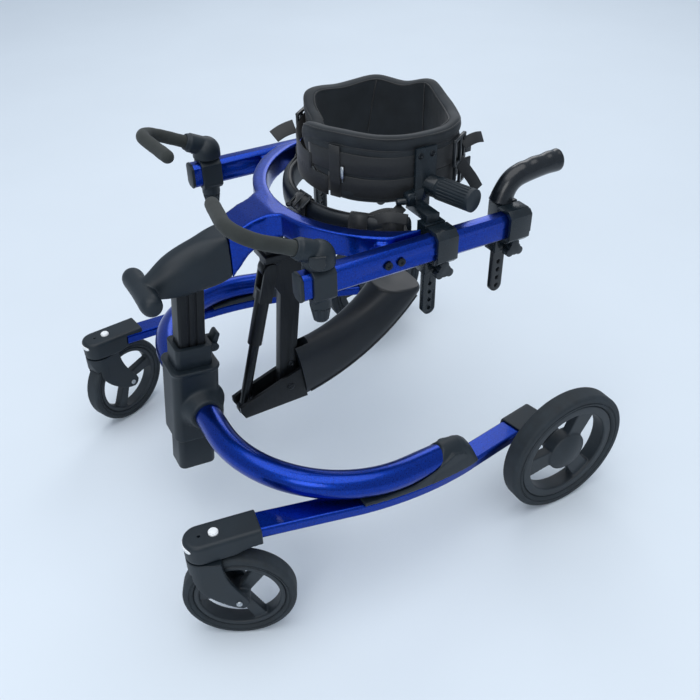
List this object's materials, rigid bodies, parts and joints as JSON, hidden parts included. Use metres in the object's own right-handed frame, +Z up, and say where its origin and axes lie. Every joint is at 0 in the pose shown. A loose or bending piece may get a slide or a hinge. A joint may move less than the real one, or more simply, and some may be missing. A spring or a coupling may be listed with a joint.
{
  "type": "gait trainer",
  "caption": "Gait trainer with a bent tube base on casters and larger rear wheels, leaning height-set column, horseshoe yoke with arms, padded chest ring, hand grips and a tilting saddle.",
  "frame": {"origin": "on the ground under the middle of the bounding box, in the plane of symmetry", "axes": "+X to the user's right, +Y to the rear (open) end, +Z up"},
  "size_m": [0.565, 0.6442, 0.533],
  "materials": {
    "frame_blue": "gloss",
    "black_metal": "satin",
    "black_moulding": "satin",
    "dark_rim": "satin",
    "tyre": "matte",
    "steel": "brushed",
    "button_white": "gloss",
    "foam": "matte",
    "padded_fabric": "matte",
    "webbing": "matte",
    "sling_cover": "satin"
  },
  "bodies": {
    "base": {"column_socket": "black_moulding", "socket_collar": "black_moulding", "socket_shroud": "black_moulding", "base_tubes": "frame_blue", "side_rails": "frame_blue", "rail_covers": "black_moulding", "caster_housings": "black_moulding", "axle_brackets": "black_metal", "rear_axles": "steel"},
    "lever": {"height_lever": "black_moulding"},
    "upper_frame": {"column": "black_metal", "column_boot": "black_moulding", "yoke": "frame_blue", "arms": "frame_blue", "arm_caps": "black_moulding", "arm_bolts": "black_metal", "handhold_clamps": "black_moulding", "pelvic_band": "padded_fabric", "saddle_mount": "black_metal", "saddle_hanger": "black_metal"},
    "prompt_slide": {"prompt_clamps": "black_moulding"},
    "chest_prompt": {"prompt_brackets": "black_moulding", "chest_pad": "padded_fabric", "chest_straps": "webbing"},
    "saddle": {"saddle_base": "black_metal", "saddle_sling": "sling_cover"},
    "strut_upper": {"strut_tube": "black_metal"},
    "strut_lower": {"strut_rod": "steel"},
    "button_right": {"swivel_button_right": "button_white"},
    "caster_right": {"caster_fork_right": "black_moulding", "caster_axle_right": "steel"},
    "caster_wheel_right": {"caster_rim_right": "dark_rim", "caster_tyre_right": "tyre"},
    "rear_wheel_right": {"rear_rim_right": "dark_rim", "rear_tyre_right": "tyre"},
    "handle_slide_right": {"handle_clamp_right": "black_moulding"},
    "handle_bar_right": {"handle_knuckle_right": "black_moulding", "foam_grip_right": "foam"},
    "handle_screw_right": {"handle_knob_right": "black_moulding"},
    "handhold_post_right": {"handhold_right": "black_moulding"},
    "handhold_screw_right": {"handhold_knob_right": "black_moulding"},
    "prompt_screw_right": {"prompt_clamp_knob_right": "black_moulding"},
    "ribbed_knob_right": {"prompt_knob_right": "black_moulding"},
    "button_left": {"swivel_button_left": "button_white"},
    "caster_left": {"caster_fork_left": "black_moulding", "caster_axle_left": "steel"},
    "caster_wheel_left": {"caster_rim_left": "dark_rim", "caster_tyre_left": "tyre"},
    "rear_wheel_left": {"rear_rim_left": "dark_rim", "rear_tyre_left": "tyre"},
    "handle_slide_left": {"handle_clamp_left": "black_moulding"},
    "handle_bar_left": {"handle_knuckle_left": "black_moulding", "foam_grip_left": "foam"},
    "handle_screw_left": {"handle_knob_left": "black_moulding"},
    "handhold_post_left": {"handhold_left": "black_moulding"},
    "handhold_screw_left": {"handhold_knob_left": "black_moulding"},
    "prompt_screw_left": {"prompt_clamp_knob_left": "black_moulding"},
    "ribbed_knob_left": {"prompt_knob_left": "black_moulding"}
  },
  "joints": [
    {"name": "height_lever_turn", "type": "hinge", "parent": "base", "child": "lever", "pos_m": [0, -0.17559, 0.26242], "axis": [1, 0, 0], "range_deg": [-50, 0]},
    {"name": "column_height", "type": "slide", "parent": "base", "child": "upper_frame", "axis": [0, 0.1045, 0.9945], "range_m": [-0.05, 0.06]},
    {"name": "button_press_right", "type": "slide", "parent": "base", "child": "button_right", "axis": [0, 0, -1], "range_m": [0, 0.002], "stiffness_N_per_m": 900},
    {"name": "caster_swivel_right", "type": "hinge", "parent": "base", "child": "caster_right", "pos_m": [0.224, -0.29, 0.141], "axis": [0, 0, 1], "continuous": true},
    {"name": "caster_roll_right", "type": "hinge", "parent": "caster_right", "child": "caster_wheel_right", "pos_m": [0.24066, -0.25585, 0.069], "axis": [0.8988, -0.4384, 0], "continuous": true},
    {"name": "rear_roll_right", "type": "hinge", "parent": "base", "child": "rear_wheel_right", "pos_m": [0.2625, 0.2278, 0.095], "axis": [1, 0, 0], "continuous": true},
    {"name": "handle_move_right", "type": "slide", "parent": "upper_frame", "child": "handle_slide_right", "axis": [0, 1, 0], "range_m": [-0.008, 0.05]},
    {"name": "handle_swivel_right", "type": "hinge", "parent": "handle_slide_right", "child": "handle_bar_right", "pos_m": [0.167, -0.094, 0.443], "axis": [0, 0, 1], "range_deg": [-30, 25]},
    {"name": "handle_screw_turn_right", "type": "hinge", "parent": "handle_slide_right", "child": "handle_screw_right", "pos_m": [0.167, -0.094, 0.389], "axis": [0, 0, 1], "range_deg": [-90, 90]},
    {"name": "handhold_height_right", "type": "slide", "parent": "upper_frame", "child": "handhold_post_right", "axis": [0, 0, 1], "range_m": [0, 0.05]},
    {"name": "handhold_screw_turn_right", "type": "hinge", "parent": "upper_frame", "child": "handhold_screw_right", "pos_m": [0.1582, 0.177, 0.3853], "axis": [1, 0, 0], "range_deg": [-90, 90]},
    {"name": "prompt_screw_turn_right", "type": "hinge", "parent": "prompt_slide", "child": "prompt_screw_right", "pos_m": [0.1582, 0.0715, 0.3853], "axis": [1, 0, 0], "range_deg": [-90, 90]},
    {"name": "ribbed_knob_turn_right", "type": "hinge", "parent": "chest_prompt", "child": "ribbed_knob_right", "pos_m": [0.1033, 0.09, 0.466], "axis": [0.9563, 0.2924, 0], "range_deg": [-90, 90]},
    {"name": "button_press_left", "type": "slide", "parent": "base", "child": "button_left", "axis": [0, 0, -1], "range_m": [0, 0.002], "stiffness_N_per_m": 900},
    {"name": "caster_swivel_left", "type": "hinge", "parent": "base", "child": "caster_left", "pos_m": [-0.224, -0.29, 0.141], "axis": [0, 0, 1], "continuous": true},
    {"name": "caster_roll_left", "type": "hinge", "parent": "caster_left", "child": "caster_wheel_left", "pos_m": [-0.24066, -0.25585, 0.069], "axis": [0.8988, 0.4384, 0], "continuous": true},
    {"name": "rear_roll_left", "type": "hinge", "parent": "base", "child": "rear_wheel_left", "pos_m": [-0.2625, 0.2278, 0.095], "axis": [1, 0, 0], "continuous": true},
    {"name": "handle_move_left", "type": "slide", "parent": "upper_frame", "child": "handle_slide_left", "axis": [0, 1, 0], "range_m": [-0.008, 0.05]},
    {"name": "handle_swivel_left", "type": "hinge", "parent": "handle_slide_left", "child": "handle_bar_left", "pos_m": [-0.167, -0.094, 0.443], "axis": [0, 0, 1], "range_deg": [-25, 30]},
    {"name": "handle_screw_turn_left", "type": "hinge", "parent": "handle_slide_left", "child": "handle_screw_left", "pos_m": [-0.167, -0.094, 0.389], "axis": [0, 0, 1], "range_deg": [-90, 90]},
    {"name": "handhold_height_left", "type": "slide", "parent": "upper_frame", "child": "handhold_post_left", "axis": [0, 0, 1], "range_m": [0, 0.05]},
    {"name": "handhold_screw_turn_left", "type": "hinge", "parent": "upper_frame", "child": "handhold_screw_left", "pos_m": [-0.1582, 0.177, 0.3853], "axis": [1, 0, 0], "range_deg": [-90, 90]},
    {"name": "prompt_screw_turn_left", "type": "hinge", "parent": "prompt_slide", "child": "prompt_screw_left", "pos_m": [-0.1582, 0.0715, 0.3853], "axis": [1, 0, 0], "range_deg": [-90, 90]},
    {"name": "ribbed_knob_turn_left", "type": "hinge", "parent": "chest_prompt", "child": "ribbed_knob_left", "pos_m": [-0.1033, 0.09, 0.466], "axis": [0.9563, -0.2924, 0], "range_deg": [-90, 90]},
    {"name": "prompt_move", "type": "slide", "parent": "upper_frame", "child": "prompt_slide", "axis": [0, 1, 0], "range_m": [0, 0.04]},
    {"name": "prompt_height", "type": "slide", "parent": "prompt_slide", "child": "chest_prompt", "axis": [0, 0, 1], "range_m": [0, 0.05]},
    {"name": "saddle_tilt", "type": "hinge", "parent": "upper_frame", "child": "saddle", "pos_m": [0, -0.074, 0.158], "axis": [1, 0, 0], "range_deg": [-7, 9]},
    {"name": "strut_swing", "type": "hinge", "parent": "upper_frame", "child": "strut_upper", "pos_m": [0, -0.086, 0.35], "axis": [1, 0, 0], "range_deg": [-3, 3]},
    {"name": "strut_reach", "type": "slide", "parent": "strut_upper", "child": "strut_lower", "axis": [0, -0.2532, -0.9674], "range_m": [-0.012, 0.012]}
  ],
  "couplings": [
    {"joint": "strut_swing", "follows": "saddle_tilt", "ratio": 0.17404},
    {"joint": "strut_reach", "follows": "saddle_tilt", "m_per_rad": 0.060215}
  ]
}
